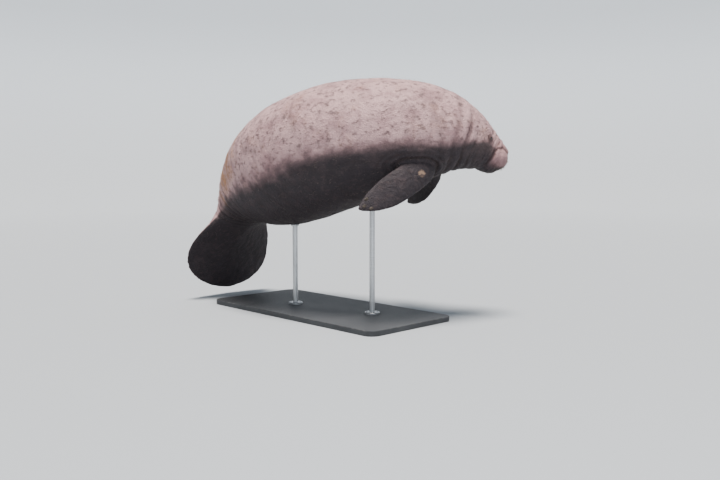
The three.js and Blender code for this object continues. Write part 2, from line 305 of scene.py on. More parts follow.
# The skin's grid is halved round the middle of the head, and halved again round each eye and nostril
HEAD_MIDDLE = (0.13, 0, 0)
HEAD_REACH = 0.23
DETAIL_REACH = 0.036


def join_quads(bm):
    """Joins pairs of a CAD node's triangles, so that it subdivides smoothly."""
    bmesh.ops.join_triangles(
        bm, faces=bm.faces, angle_face_threshold=QUAD_ANGLE, angle_shape_threshold=QUAD_ANGLE
    )


def trunk_shape():
    """The body from snout to tail as one closed surface, with the cuts between its parts closed up."""
    bm = copy_of(TRUNK)
    for place, ahead, _, _ in zip(*midline.at(CUTS)):
        caps = [
            face for face in bm.faces
            if all(abs((np.array(vert.co) - place) @ ahead) < CUT_GAP for vert in face.verts)
            and lengths(np.array(face.calc_center_median()) - place) < CUT_REACH
        ]
        bmesh.ops.delete(bm, geom=caps, context="FACES")
    rims = [vert for vert in bm.verts if vert.is_boundary]
    bmesh.ops.remove_doubles(bm, verts=rims, dist=CUT_GAP)
    join_quads(bm)
    return bm


def flipper_shape(node):
    """A flipper with its root sunk into the body."""
    bm = copy_of([node])
    body = tree_of(["neck", "chest"])
    for vert in bm.verts:
        _, normal, _, gap = body.find_nearest(vert.co)
        if gap < ROOT_GAP:
            vert.co -= ROOT_SINK * normal
    join_quads(bm)
    return bm


def rounded(name, bm, levels=2):
    """A piece from a bmesh, rounded off by subdivision."""
    piece = add_piece(name, mesh_of(name, bm))
    modifier = piece.modifiers.new("round", "SUBSURF")
    modifier.levels = modifier.render_levels = levels
    settle(piece)
    return piece


def one_surface():
    """The body and flippers as one closed surface of even quads."""
    parts = [rounded("trunk", trunk_shape())]
    parts += [rounded(node + "_form", flipper_shape(node)) for node in FLIPPERS]
    bm = bmesh.new()
    for part in parts:
        bm.from_mesh(part.data)
        bpy.data.objects.remove(part)
    skin = add_piece("skin", mesh_of("skin", bm))
    modifier = skin.modifiers.new("even", "REMESH")
    modifier.mode = "VOXEL"
    modifier.voxel_size = SKIN_VOXEL
    settle(skin)
    return skin


def halve_grid(piece, middles, reach):
    """Splits each face near some points into four."""
    points = points_of(piece.data)
    near = np.any([lengths(points - middle) < reach for middle in middles], axis=0)
    bm = bmesh.new()
    bm.from_mesh(piece.data)
    edges = [edge for edge in bm.edges if all(near[vert.index] for vert in edge.verts)]
    bmesh.ops.subdivide_edges(bm, edges=edges, cuts=1, use_grid_fill=True)
    piece.data = mesh_of("skin", bm)


def bump(x, middle, width):
    """1 at the middle, falling smoothly to 0 a width away on either side."""
    return 1 - smooth_step(0, width, np.abs(x - middle))


def fold(x, width):
    """How a fold shapes the skin a distance x from its line: a crease between two soft rolls."""
    return 0.4 * np.exp(-((np.abs(x) / width - 2.1) / 1.1) ** 2) - np.exp(-(x / width) ** 2)


def mottle(points, scale, octaves=2):
    """Smooth noise from about -1 to 1, with forms of about 1 / scale metres."""
    return np.array([noise.fractal(Vector(point), 0.8, 2.0, octaves) for point in points * scale])


def winding(points, scale, width):
    """Lines that wind, part and meet: 1 on a line, and 0 where the noise is much past the width."""
    return np.exp(-((mottle(points, scale) / width) ** 2))


class Places:
    """Where points of the skin lie on the animal."""

    def __init__(self, points):
        self.points = points
        self.station, self.side, self.rise = midline.locate(points)
        self.outwards = np.abs(self.side)
        self.back = self.rise / (np.hypot(self.side, self.rise) + 1e-6)
        self.off_trunk = distances(points, TRUNK)
        self.off_flipper = distances(points, FLIPPERS)
        self.limb = smooth_step(0.006, 0.05, self.off_trunk)
        self.places = np.stack([self.station, self.side, self.rise], axis=1)
        self.swell = mottle(points, 2.3, 1)
        self.drift = mottle(points, 7)
        self.shiver = mottle(points, 26)


# The neck's and tail stock's folds: station, depth, half width, and the share on the back, side and belly
RING_FOLDS = [
    (0.268, 0.005, 0.009, 0.25, 1.0, 0.9),
    (0.322, 0.009, 0.012, 0.25, 0.9, 1.0),
    (0.381, 0.006, 0.012, 0.15, 0.6, 1.0),
    (0.446, 0.004, 0.014, 0.15, 0.4, 0.9),
    (1.760, 0.002, 0.014, 0.8, 0.5, 0.1),
    (1.840, 0.003, 0.014, 0.9, 0.6, 0.2),
    (1.915, 0.004, 0.014, 1.0, 0.8, 0.4),
    (1.985, 0.005, 0.013, 1.0, 0.9, 0.6),
    (2.050, 0.006, 0.012, 1.0, 1.0, 0.8),
    (2.105, 0.006, 0.010, 1.0, 1.0, 0.8),
    (2.155, 0.004, 0.009, 0.8, 0.8, 0.6),
]


def ring_folds(at):
    """Deep folds that run round the neck and the tail stock."""
    wander = 0.012 * at.drift + 0.003 * at.shiver
    fade = np.clip(0.75 + 0.6 * at.drift, 0, 1.3)
    total = np.zeros(len(at.points))
    for station, depth, width, on_back, on_side, on_belly in RING_FOLDS:
        share = np.interp(at.back, (-1, 0, 1), (on_belly, on_side, on_back))
        total += depth * share * fade * fold(at.station + wander - station, width)
    return total * (1 - at.limb)


# Fine wrinkles: how close they lie along, across and up, and their depth
BODY_LINES = ((7.5, 2.6, 2.6), 0.0022)
HEAD_LINES = ((26, 11, 11), 0.0016)
CHIN_LINES = ((34, 9, 9), 0.0022)
LIMB_LINES = ((14, 20, 20), 0.0020)


def trunk_wrinkles(at):
    """Faint wrinkles round the trunk, in patches, and shallow sags along the flanks."""
    closeness, depth = BODY_LINES
    places = at.places * closeness
    lines = winding(places, 1, 0.11) + 0.6 * winding(places + 5, 2.1, 0.12)
    patches = 0.35 + 0.65 * smooth_step(-0.2, 0.5, at.swell)
    trunk = smooth_step(0.30, 0.45, at.station) * (1 - smooth_step(2.1, 2.3, at.station))
    sags = np.sin(at.rise * 60 + 5 * at.drift + 3 * at.station) * bump(at.back, -0.35, 0.6)
    return trunk * (1 - at.limb) * (0.0010 * sags - depth * patches * lines)


ROOT_FOLDS = ((0.020, 0.0060), (0.050, 0.0030), (0.085, 0.0015))  # distance from the flipper, and depth


def root_creases(at):
    """Creases round the flippers' roots on the body, and across the flippers' inner half."""
    total = np.zeros(len(at.points))
    for gap, depth in ROOT_FOLDS:
        total += depth * fold(at.off_flipper + 0.012 * at.drift - gap, 0.008) * (1 - at.limb)
    closeness, depth = LIMB_LINES
    inner_half = at.limb * (1 - smooth_step(0.08, 0.30, at.off_trunk))
    return total - depth * inner_half * winding(at.places * closeness, 1, 0.12)


EYE_RINGS = ((0.034, 0.0022), (0.047, 0.0022), (0.064, 0.0014))  # radius and depth
# The wrinkles over the muzzle and forehead: station and depth
MUZZLE_FOLDS = ((0.066, 0.0030), (0.095, 0.0036), (0.124, 0.0040), (0.150, 0.0026), (0.214, 0.0014))
CHEEK_LINE = 0.126  # the station of the deep fold behind the muzzle


def from_pad(at):
    """How far outside the surface of a lip pad each place lies, in about metres."""
    middle, radii = LIP_PAD
    places = np.stack([at.station, at.outwards, at.rise], axis=1)
    return (lengths((places - middle) / radii) - 1) * min(radii)


def head_creases(at):
    """The grooves round the lip pads and between them, the muzzle's wrinkles and the eyes' rings."""
    cheek_line = CHEEK_LINE + 0.14 * np.maximum(0, -0.02 - at.rise) + 0.006 * at.drift
    cheek = bump(at.rise, -0.015, 0.095) * smooth_step(0.03, 0.06, at.outwards)
    total = 0.012 * cheek * fold(at.station - cheek_line, 0.009)

    above_pad = smooth_step(-0.03, 0.02, at.rise) * (1 - smooth_step(0.10, 0.14, at.station))
    total += 0.0055 * above_pad * fold(from_pad(at) + 0.004 * at.shiver - 0.013, 0.006)
    front = (1 - smooth_step(0.05, 0.09, at.station)) * (1 - smooth_step(0.005, 0.04, at.rise))
    total += 0.0075 * front * fold(at.side + 0.002 * at.shiver, 0.006)

    on_top = smooth_step(0.0, 0.5, at.back)
    for station, depth in MUZZLE_FOLDS:
        curve = station + 1.6 * at.outwards ** 2 - 0.010 * at.drift - 0.003 * at.shiver
        total += depth * on_top * np.clip(0.8 + at.shiver, 0.2, 1.2) * fold(at.station - curve, 0.0055)

    ahead, outwards, up = at.station - EYE[0], at.outwards - EYE[1], at.rise - EYE[2]
    from_eye = np.sqrt(ahead ** 2 + 1.5 * up ** 2 + 0.2 * outwards ** 2)
    for radius, depth in EYE_RINGS:
        broken = np.clip(0.5 + 1.4 * at.shiver, 0, 1.2)
        total += depth * broken * fold(from_eye + 0.010 * at.drift + 0.004 * at.shiver - radius, 0.0045)

    from_ear = np.hypot(at.station - EAR[0], at.rise - EAR[1])
    total += 0.0035 * fold(from_ear, 0.005)

    closeness, depth = HEAD_LINES
    total -= depth * winding(at.places * closeness, 1, 0.13)
    closeness, depth = CHIN_LINES
    total -= depth * smooth_step(0.2, 0.7, -at.back) * winding(at.places * closeness, 1, 0.14)
    return total * (1 - smooth_step(0.28, 0.36, at.station))


NAVEL = (1.16, 0.016, 0.006)  # station, radius, depth


def belly_marks(at):
    """The navel, and a faint groove along the middle of the belly."""
    station, radius, depth = NAVEL
    below = smooth_step(0.9, 1, -at.back)
    navel = depth * fold(np.hypot(at.station - station, at.side), radius)
    groove = 0.002 * fold(at.side, 0.012) * bump(at.station, 1.5, 0.6)
    return below * (navel + groove)


TAIL_ROOT = 2.14


def tail_ridges(at):
    """Shallow ridges that fan out over the tail paddle, with a little unevenness."""
    paddle = smooth_step(TAIL_ROOT, 2.35, at.station)
    fan = np.arctan2(at.side, at.station - TAIL_ROOT + 0.35)
    return paddle * (0.0010 * np.sin(40 * fan + 6 * at.drift) * (1 + at.drift) + 0.0015 * at.shiver)


def lumps(at):
    """The unevenness of fat under the skin."""
    steady = smooth_step(0.2, 0.5, at.station) * (1 - smooth_step(2.0, 2.2, at.station)) * (1 - at.limb)
    return steady * (0.006 * at.swell + 0.003 * at.drift) + 0.0007 * at.shiver


# Where painted light on the upper side gives way to painted shade on the lower one, as under overhead
# light: station, and the share of the way up
SHADE_LINE = through_rows([
    (0.00, 0.22), (0.18, 0.22), (0.27, -0.05), (0.36, -0.27), (0.50, -0.31), (0.85, -0.31), (1.06, -0.42),
    (1.30, -0.47), (1.66, -0.46), (1.85, -0.40), (1.97, -0.22), (2.10, -0.12), (2.25, -0.30), (2.74, -0.30),
])


def way_up(at, normals):
    """How far round to the back each place lies, from -1 to 1; on the flat tail, by the way it faces."""
    facing = (normals * midline.at(at.station)[3]).sum(axis=1)
    tail = smooth_step(1.95, 2.20, at.station)
    return (1 - tail) * at.back + tail * facing


# A crease's depth also sets its painted shade, which is full from this depth on
FULL_CREASE = 0.005  # as dark as a crease gets, from this depth on


def relief(at):
    """How far the skin stands out at each place, and how deep in a crease it is, from 0 to 1."""
    folds = ring_folds(at) + trunk_wrinkles(at) + root_creases(at) + head_creases(at) + belly_marks(at)
    crease = np.clip(-folds / FULL_CREASE, 0, 1)
    return folds + tail_ridges(at) + lumps(at), crease


# How far the skin stands out at each distance from the middle of an eye and of a nostril
LIDS = through_rows([
    (0.0000, 0.0000), (0.0060, 0.0000), (0.0073, 0.0053), (0.0088, 0.0074), (0.0108, 0.0076),
    (0.0132, 0.0050), (0.0156, 0.0034), (0.0186, 0.0040), (0.0225, 0.0016), (0.0260, 0.0000),
])
LIDS_SLIMNESS = 1.2  # how much longer than high the opening is
NOSTRIL_RIM = through_rows([
    (0.0000, -0.0090), (0.0050, -0.0085), (0.0078, -0.0050), (0.0094, 0.0006), (0.0112, 0.0026),
    (0.0136, 0.0022), (0.0172, -0.0008), (0.0215, 0.0002), (0.0260, 0.0000),
])
NOSTRIL_SLIMNESS = 1.3
NOSTRIL_VALVE = 0.5  # how much of the hole the flap behind it fills
SPOT_RIM = (0.016, 0.027)  # between these distances a spot's shape gives way to the skin round it
SPOT_SLOPE = (0.020, 0.030)  # between these, the skin gives the slope that the spot lies on
SPOT_DEPTH = 0.04  # skin further in or out than this is another side of the head
# Painted shade round an eye and in a nostril: full and gone at these distances, and how deep
EYE_SHADE = (0.012, 0.042, 1.4)
NOSTRIL_SHADE = (0.006, 0.012, 1.0)


def shape_spot(points, spot, profile, slimness, valve=0.0):
    """Gives the skin at an eye or a nostril its own shape, on the slope of the skin round it."""
    height, along, across = spot.locate(points)
    out = np.hypot(along, slimness * across)
    close = np.abs(height) < SPOT_DEPTH
    ring = close & (out > SPOT_SLOPE[0]) & (out < SPOT_SLOPE[1])
    slope = np.stack([np.ones_like(along), along, across], axis=1)
    fit = np.linalg.lstsq(slope[ring], height[ring], rcond=None)[0]
    lift = profile(out)[:, 0]
    lift = np.where(lift < 0, lift * (1 - valve * smooth_step(-0.002, 0.005, -along)), lift)
    share = close * (1 - smooth_step(*SPOT_RIM, out))
    points += (share * (slope @ fit + lift - height))[:, None] * spot.faces


def soften(piece, iterations):
    modifier = piece.modifiers.new("soften", "SMOOTH")
    modifier.factor = 0.5
    modifier.iterations = iterations
    settle(piece)


def thin_out(piece, triangles):
    """Takes triangles away where the surface is flattest."""
    modifier = piece.modifiers.new("thin out", "DECIMATE")
    modifier.ratio = min(1, triangles / (2 * len(piece.data.polygons)))
    settle(piece)


def carve(skin):
    """Moves the skin out and in by its relief, and shapes the eyes' lids and the nostrils."""
    at = Places(points_of(skin.data))
    height, _ = relief(at)
    points = at.points + height[:, None] * normals_of(skin.data)
    for eye in EYES.values():
        shape_spot(points, eye, LIDS, LIDS_SLIMNESS)
    for nostril in NOSTRILS:
        shape_spot(points, nostril, NOSTRIL_RIM, NOSTRIL_SLIMNESS, NOSTRIL_VALVE)
    set_points(skin.data, points)


def add_painted_shade(crease, points, spots, shade):
    """The creases' painted shade, with painted shade added round some spots."""
    full, gone, depth = shade
    for spot in spots:
        crease = np.maximum(crease, depth * (1 - smooth_step(full, gone, lengths(points - spot.middle))))
    return crease


def mark(skin):
    """Writes what the finish reads at each point: creases with painted shade round the eyes and nostrils,
    the way up, the side of the painted shade line, limbs and the place on the body.
    """
    at = Places(points_of(skin.data))
    _, crease = relief(at)
    crease = add_painted_shade(crease, at.points, EYES.values(), EYE_SHADE)
    crease = add_painted_shade(crease, at.points, NOSTRILS, NOSTRIL_SHADE)
    set_attribute(skin.data, "crease", crease)
    back = way_up(at, normals_of(skin.data))
    set_attribute(skin.data, "back", back)
    set_attribute(skin.data, "upper", back - SHADE_LINE(at.station)[:, 0])
    set_attribute(skin.data, "limb", at.limb)
    place = skin.data.attributes.new("place", "FLOAT_VECTOR", "POINT")
    place.data.foreach_set("vector", at.places.astype(np.float32).ravel())


def make_skin():
    """The whole seamless skin, from the solids of the body and flippers."""
    skin = one_surface()
    soften(skin, iterations=5)
    halve_grid(skin, [midline.point(*HEAD_MIDDLE)], HEAD_REACH)
    halve_grid(skin, [spot.middle for spot in (*EYES.values(), *NOSTRILS)], DETAIL_REACH)
    soften(skin, iterations=2)
    carve(skin)
    soften(skin, iterations=1)
    thin_out(skin, SKIN_TRIANGLES)
    mark(skin)
    skin.data.shade_smooth()
    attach(skin, "root")
    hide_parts(*TRUNK, *FLIPPERS)
    return skin


skin = make_skin()

# Eyes and nails

CORNEA_ANGLE = math.radians(45.6)
CORNEA_RISE = 0.0006


def make_eye(side, spot):
    """A glossy eyeball with a clear front a little proud, and how far round each point lies."""
    node = f"eye_{side}"
    bm = bmesh.new()
    bmesh.ops.create_uvsphere(bm, u_segments=32, v_segments=24, radius=EYE_RADIUS)
    front = Vector(spot.faces).to_track_quat("Z", "Y").to_matrix()
    angles = []
    for vert in bm.verts:
        angles.append(vert.co.angle(Vector((0, 0, 1))))
        vert.co *= 1 + CORNEA_RISE / EYE_RADIUS * (1 - smooth_step(0, CORNEA_ANGLE, angles[-1]))
    placed = Matrix.Translation(box_middle(node)) @ front.to_4x4()
    bmesh.ops.transform(bm, matrix=placed, verts=bm.verts)
    eye = add_piece(f"eyeball_{side}", mesh_of(node, bm))
    set_attribute(eye.data, "angle", angles)
    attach(eye, "root")
    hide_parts(node)
    return eye


def make_nail(node):
    """A nail from its solid, rounded off."""
    nail = rounded(f"horn_{node}", copy_of([node]), levels=1)
    nail.data.shade_smooth()
    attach(nail, "root")
    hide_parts(node)
    return nail


eyes = [make_eye(side, spot) for side, spot in EYES.items()]
nails = [make_nail(node) for node in sorted(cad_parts) if node.startswith("nail_")]

# Bristles and hairs

SEED = 5
HAIR_SIDES = 3
HAIR_RINGS = 4
HAIR_SUNK = 0.06  # the share of a hair that is under the skin
HAIR_SIZES = (0.55, 1.15)
HAIR_SPREAD = 0.35
HAIR_BEND = 0.35
# Each coat: how many, length, thickness at the root, and how far a hair leans back along the body
PAD_BRISTLES = (260, 0.012, 0.0009, 0.2)
MUZZLE_BRISTLES = (320, 0.009, 0.0005, 0.5)
BODY_HAIRS = (2600, 0.020, 0.00028, 1.0)


def hair_shape():
    """A straight hair of unit length and thickness, as points that are bent later."""
    bm = bmesh.new()
    bmesh.ops.create_cone(bm, cap_ends=False, segments=HAIR_SIDES, radius1=1, radius2=0.15, depth=1)
    bmesh.ops.translate(bm, vec=(0, 0, 0.5), verts=bm.verts)
    sides = [edge for edge in bm.edges if abs(edge.verts[0].co.z - edge.verts[1].co.z) > 0.5]
    bmesh.ops.subdivide_edges(bm, edges=sides, cuts=HAIR_RINGS - 2)
    return mesh_of("hair", bm)


def skin_faces():
    """Middles, normals, areas and places on the body of the skin's faces."""
    mesh = skin.data
    count = len(mesh.polygons)
    middles = np.empty(count * 3, np.float32)
    normals = np.empty(count * 3, np.float32)
    areas = np.empty(count, np.float32)
    starts = np.empty(count, np.int32)
    corners = np.empty(len(mesh.loops), np.int32)
    places = np.empty(len(mesh.vertices) * 3, np.float32)
    mesh.polygons.foreach_get("center", middles)
    mesh.polygons.foreach_get("normal", normals)
    mesh.polygons.foreach_get("area", areas)
    mesh.polygons.foreach_get("loop_start", starts)
    mesh.loops.foreach_get("vertex_index", corners)
    mesh.attributes["place"].data.foreach_get("vector", places)
    return middles.reshape(-1, 3), normals.reshape(-1, 3), areas, places.reshape(-1, 3)[corners[starts]]


def grow(name, coat, density, draw):
    """Bent hairs on the skin, thicker where density says so."""
    count, length, thickness, lean = coat
    middles, normals, areas, places = skin_faces()
    weights = areas * density(*places.T)
    picked = draw.choice(len(areas), count, replace=False, p=weights / weights.sum())
    roots, out = middles[picked], normals[picked]
    ahead = midline.at(places[picked, 0])[1]
    back = -ahead + (ahead * out).sum(axis=1)[:, None] * out
    back += HAIR_SPREAD * draw.normal(size=back.shape)
    grown = out + lean * back
    grown /= lengths(grown)[:, None]
    one_side = np.cross(grown, back)
    one_side /= lengths(one_side)[:, None]
    other_side = np.cross(grown, one_side)
    bm = bmesh.new()
    shape = hair_shape()
    for _ in range(count):
        bm.from_mesh(shape)
    hairs = add_piece(name, mesh_of(name, bm))
    x, y, z = points_of(shape).T
    size = length * draw.uniform(*HAIR_SIZES, count)
    bend = HAIR_BEND * size[:, None] * z ** 2
    points = (
        roots[:, None]
        + (size[:, None] * (z - HAIR_SUNK))[..., None] * grown[:, None]
        + bend[..., None] * back[:, None]
        + thickness * (x[:, None] * one_side[:, None] + y[:, None] * other_side[:, None])
    )
    set_points(hairs.data, points.reshape(-1, 3))
    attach(hairs, "root")
    return hairs


def on_pads(station, side, rise):
    """Thickest beside the cleft, low on the lip pads."""
    field = np.exp(-(((np.abs(side) - 0.030) / 0.022) ** 2 + ((rise + 0.030) / 0.022) ** 2))
    return field * (station < 0.09)


def on_muzzle(station, side, rise):
    """Sparse above and thicker below, and none in the nostrils."""
    from_nostril = np.hypot(station - NOSTRIL[0], np.abs(side) - NOSTRIL[1]) + np.abs(rise - NOSTRIL[2])
    return (station < 0.115) * (from_nostril > 0.02) * (0.25 + smooth_step(0.04, -0.04, rise))


def on_body(station, side, rise):
    """Even from behind the muzzle to the tail, and none on the eyes."""
    from_eye = np.hypot(station - EYE[0], rise - EYE[2])
    return (station > 0.12) * (station < 2.3) * (from_eye > 0.04)


draw = np.random.default_rng(SEED)
hairs = [
    grow("lip_bristles", PAD_BRISTLES, on_pads, draw),
    grow("muzzle_bristles", MUZZLE_BRISTLES, on_muzzle, draw),
    grow("body_hairs", BODY_HAIRS, on_body, draw),
]

# The stand's small parts

# The collar's and a screw's outlines, as radius and height
COLLAR = (
    (0.0165, 0.0000), (0.0240, 0.0000), (0.0255, 0.0015), (0.0255, 0.0090), (0.0240, 0.0110),
    (0.0220, 0.0120), (0.0220, 0.0300), (0.0165, 0.0300), (0.0165, 0.0000),
)
COLLAR_SHOWS = 0.008  # below the skin
SCREW = (
    (0.0000, 0.0010), (0.0024, 0.0010), (0.0024, 0.0030), (0.0037, 0.0030), (0.0046, 0.0025),
    (0.0050, 0.0014), (0.0050, 0.0000), (0.0000, 0.0000),
)
SCREWS = 4
SCREW_CIRCLE = 0.031
STEEL_STEPS = 48


def turned(outline, steps):
    """A bmesh of an outline of radius and height, turned round the upright axis."""
    bm = bmesh.new()
    rim = [bm.verts.new((radius, 0, height)) for radius, height in outline]
    edges = [bm.edges.new(pair) for pair in zip(rim, rim[1:])]
    bmesh.ops.spin(
        bm, geom=rim + edges, cent=(0, 0, 0), axis=(0, 0, 1), angle=math.tau, steps=steps, use_merge=True
    )
    bmesh.ops.remove_doubles(bm, verts=bm.verts, dist=1e-6)
    bmesh.ops.recalc_face_normals(bm, faces=bm.faces)
    return bm


def steel_piece(name, outline, places):
    """Turned steel parts of one outline, one at each place, as one piece."""
    shape = mesh_of("turned_part", turned(outline, STEEL_STEPS))
    bm = bmesh.new()
    for place in places:
        before = len(bm.verts)
        bm.from_mesh(shape)
        bmesh.ops.translate(bm, vec=place, verts=list(bm.verts)[before:])
    piece = add_piece(name, mesh_of(name, bm))
    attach(piece, "root")
    return piece


def round_circle(x, y, radius, count, first=0.0):
    """Points evenly round a circle, as x and y."""
    for i in range(count):
        angle = math.tau * (i + first) / count
        yield x + radius * math.cos(angle), y + radius * math.sin(angle)


def make_collar(end, tree):
    """A turned collar round the top of a rod, let into the skin."""
    x, y, _ = box_middle(f"stand_rod_{end}")
    reach = max(radius for radius, _ in COLLAR)
    up = Vector((0, 0, 1))
    lowest = min(tree.ray_cast(Vector((*spot, 0.1)), up)[0].z for spot in round_circle(x, y, reach, 11))
    return steel_piece(f"collar_{end}", COLLAR, [(x, y, lowest - COLLAR_SHOWS)])


def make_screws(end):
    """The socket screws that hold a flange to the board."""
    x, y, _ = box_middle(f"stand_flange_{end}")
    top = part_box(f"stand_flange_{end}")[1][2]
    spots = round_circle(x, y, SCREW_CIRCLE, SCREWS, first=0.5)
    return steel_piece(f"screws_{end}", SCREW, [(*spot, top) for spot in spots])


def make_fittings():
    """The collars and screws of both rods."""
    tree = BVHTree.FromPolygons(
        [vert.co for vert in skin.data.vertices], [face.vertices for face in skin.data.polygons]
    )
    for end in ("front", "rear"):
        yield make_collar(end, tree)
        yield make_screws(end)


fittings = list(make_fittings())

# Finishes


class Amount:
    """A number that a node gives, which takes part in sums as a Python number does."""

    def __init__(self, finish, socket):
        self.finish = finish
        self.socket = socket

    def _maths(self, operation, first, second):
        return self.finish.node("ShaderNodeMath", {"operation": operation}, {0: first, 1: second})

    def __add__(self, other):
        return self._maths("ADD", self, other)

    def __sub__(self, other):
        return self._maths("SUBTRACT", self, other)

    def __rsub__(self, other):
        return self._maths("SUBTRACT", other, self)

    def __mul__(self, other):
        return self._maths("MULTIPLY", self, other)

    def __pow__(self, other):
        return self._maths("POWER", self, other)

    __radd__ = __add__
    __rmul__ = __mul__


class Finish:
    """A material whose nodes are added by one method."""

    def __init__(self, name, colour=(0.5, 0.5, 0.5), roughness=0.5, metallic=0.0, **constants):
        self.material = bpy.data.materials.new(name)
        self.material.use_nodes = True
        self.tree = self.material.node_tree
        self.shader = self.tree.nodes["Principled BSDF"]
        self.set(base_color=colour, roughness=roughness, metallic=metallic, **constants)

    def set(self, **sockets):
        """Sets or links sockets of the shader, named in lower case with underscores."""
        for name, value in sockets.items():
            self._fill(self.shader.inputs[name.replace("_", " ").title().replace("Ior", "IOR")], value)

    def _fill(self, socket, value):
        if isinstance(value, Amount):
            self.tree.links.new(value.socket, socket)
        elif isinstance(value, tuple) and len(value) == 3 and socket.type == "RGBA":
            socket.default_value = (*value, 1)
        else:
            socket.default_value = value

    def node(self, kind, settings=None, inputs=None, output=0):
        """Adds a node: its settings first, then the values or links of its sockets, by number or name."""
        node = self.tree.nodes.new(kind)
        for name, value in (settings or {}).items():
            setattr(node, name, value)
        for name, value in (inputs or {}).items():
            self._fill(node.inputs[name], value)
        return Amount(self, node.outputs[output])

    def mix(self, first, second, share):
        """One colour that turns into another as share goes from 0 to 1."""
        settings = {"data_type": "RGBA", "clamp_factor": True}
        return self.node("ShaderNodeMix", settings, {0: share, 6: first, 7: second}, output=2)

    def between(self, value, low, high):
        """0 where a value is at most low, 1 where it is at least high, and smooth between."""
        inputs = {"Value": value, "From Min": low, "From Max": high}
        return self.node("ShaderNodeMapRange", {"interpolation_type": "SMOOTHSTEP"}, inputs)

    def noise(self, where, scale, detail=3.0, roughness=0.5, distortion=0.0):
        """Smooth noise from 0 to 1, mostly near 0.5."""
        inputs = {"Vector": where, "Scale": scale, "Detail": detail}
        inputs.update({"Roughness": roughness, "Distortion": distortion})
        return self.node("ShaderNodeTexNoise", None, inputs)

    def cells(self, where, scale, feature="F1"):
        """How far each point is from the middle, or the edge, of its cell."""
        return self.node("ShaderNodeTexVoronoi", {"feature": feature}, {"Vector": where, "Scale": scale})

    def stretched(self, where, by):
        return self.node("ShaderNodeVectorMath", {"operation": "MULTIPLY"}, {0: where, 1: by})

    def warped(self, where, scale, reach):
        """Places carried about by smooth noise, so that what is drawn on them loses its straight lines."""
        inputs = {"Vector": where, "Scale": scale, "Detail": 2.0}
        drift = self.node("ShaderNodeTexNoise", None, inputs, "Color")
        inputs = {0: drift, 1: (reach,) * 3, 2: where}
        return self.node("ShaderNodeVectorMath", {"operation": "MULTIPLY_ADD"}, inputs)

    def parts(self, where):
        """The x, y and z of a place; on the body, its station, side and rise."""
        return [self.node("ShaderNodeSeparateXYZ", None, {0: where}, k) for k in range(3)]

    def greater(self, first, second):
        return self.node("ShaderNodeMath", {"operation": "MAXIMUM"}, {0: first, 1: second})

    def size_of(self, value):
        return self.node("ShaderNodeMath", {"operation": "ABSOLUTE"}, {0: value})

    def distance(self, where, middle):
        inputs = {0: where, 1: middle}
        return self.node("ShaderNodeVectorMath", {"operation": "DISTANCE"}, inputs, "Value")

    def attribute(self, name, output="Fac"):
        return self.node("ShaderNodeAttribute", {"attribute_name": name}, None, output)

    def place(self):
        return self.node("ShaderNodeTexCoord", None, None, "Object")

    def bump(self, height, distance, below=None):
        """A bump of that height, in metres where the height is 1, on top of another bump."""
        inputs = {"Height": height, "Distance": distance}
        if below is not None:
            inputs["Normal"] = below
        return self.node("ShaderNodeBump", None, inputs)


SKIN_PALE = (0.660, 0.448, 0.440)
SKIN_BACK = (0.400, 0.250, 0.254)
SKIN_FLANK = (0.135, 0.096, 0.094)
# The next two are painted shade: the dark of the lower side, and the dark in creases, round the eyes and in
# the nostrils
SKIN_SHADED = (0.046, 0.038, 0.043)
SKIN_CREASE_SHADE = (0.045, 0.032, 0.031)
SCAR = (0.290, 0.200, 0.145)
SCAR_PLACE = (0.536, -0.261, -0.206)  # on the right flipper's shoulder; warping carries it 15 mm
ALGAE = (0.430, 0.205, 0.070)


